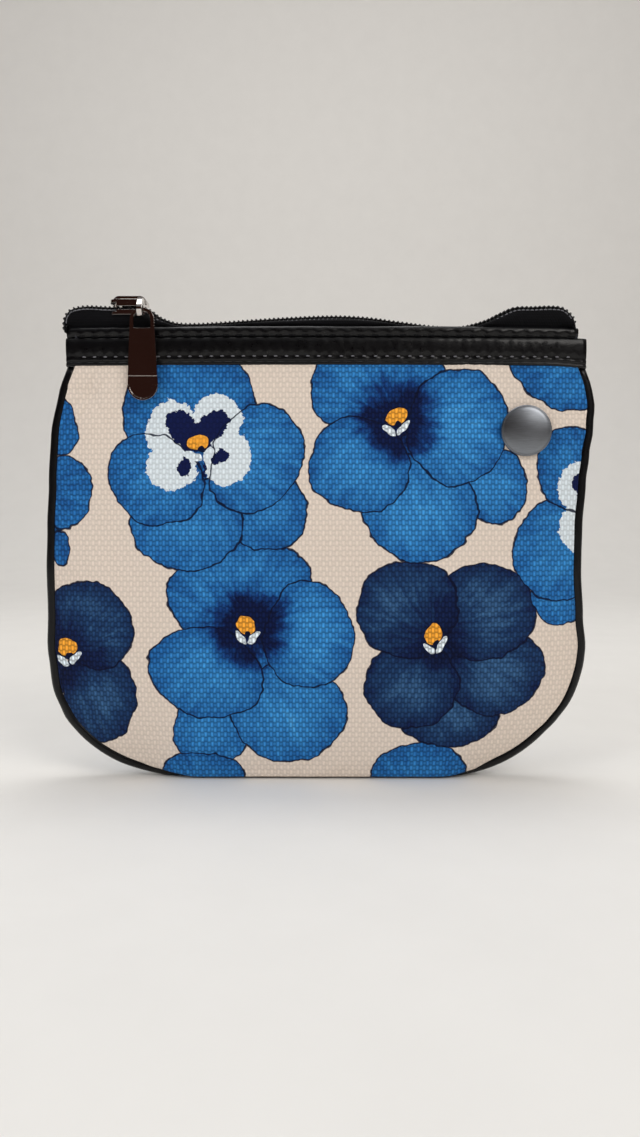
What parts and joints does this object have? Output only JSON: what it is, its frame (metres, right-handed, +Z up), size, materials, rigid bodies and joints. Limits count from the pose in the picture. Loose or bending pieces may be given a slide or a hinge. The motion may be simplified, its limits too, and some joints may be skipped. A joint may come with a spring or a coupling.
{
  "type": "zippered pouch",
  "caption": "Flat zippered pouch of printed canvas with leather band and piping; the slider runs along the mouth, its tab swings and the back wall opens.",
  "frame": {"origin": "middle of the flat strip that the piping stands on", "axes": "+X to the right along the zipper, front wall faces -Y, +Z up from the bottom seam to the mouth"},
  "size_m": [0.2, 0.022, 0.1763],
  "materials": {
    "black_leather": "grained, slightly glossy",
    "printed_canvas": "coarse plain weave, printed",
    "lining_cloth": "fine plain weave",
    "zipper_tape": "twill woven",
    "zipper_coil": "satin nylon",
    "thread": "twisted thread",
    "cotton_cord": "twisted cord",
    "brushed_metal": "brushed",
    "chrome": "polished"
  },
  "bodies": {
    "front_wall": {"piping_cover": "black_leather", "piping_cord": "cotton_cord", "seam_thread": "thread", "front_panel": "printed_canvas", "front_lining": "lining_cloth", "front_band_lower": "black_leather", "front_band_upper": "black_leather", "front_band_lower_stitches": "thread", "front_band_upper_stitches": "thread", "front_tape": "zipper_tape", "front_coil": "zipper_coil", "front_coil_core": "cotton_cord", "front_coil_thread": "thread", "badge_cap": "brushed_metal", "badge_post": "brushed_metal", "badge_washer": "brushed_metal"},
    "back_wall": {"back_panel": "printed_canvas", "back_lining": "lining_cloth", "back_band_lower": "black_leather", "back_band_upper": "black_leather", "back_band_lower_stitches": "thread", "back_band_upper_stitches": "thread", "back_tape": "zipper_tape", "back_coil": "zipper_coil", "back_coil_core": "cotton_cord", "back_coil_thread": "thread"},
    "slider": {"slider": "chrome"},
    "pull": {"pull_tab": "chrome"}
  },
  "joints": [
    {"name": "zip_travel", "type": "slide", "parent": "front_wall", "child": "slider", "axis": [1, 0, 0], "range_m": [0, 0.146], "deforming": ["front_coil"]},
    {"name": "mouth_open", "type": "hinge", "parent": "front_wall", "child": "back_wall", "pos_m": [0, 0.0009, 0.0045], "axis": [-1, 0, 0], "range_deg": [0, 10], "deforming": ["back_tape", "back_coil", "back_coil_core", "back_coil_thread"]},
    {"name": "pull_swing", "type": "hinge", "parent": "slider", "child": "pull", "pos_m": [-0.0633, -0.007, 0.1699], "axis": [-1, 0, 0], "range_deg": [0, 190]}
  ],
  "couplings": [
    {"joint": "mouth_open", "follows": "zip_travel", "rad_per_m": 1.195}
  ]
}
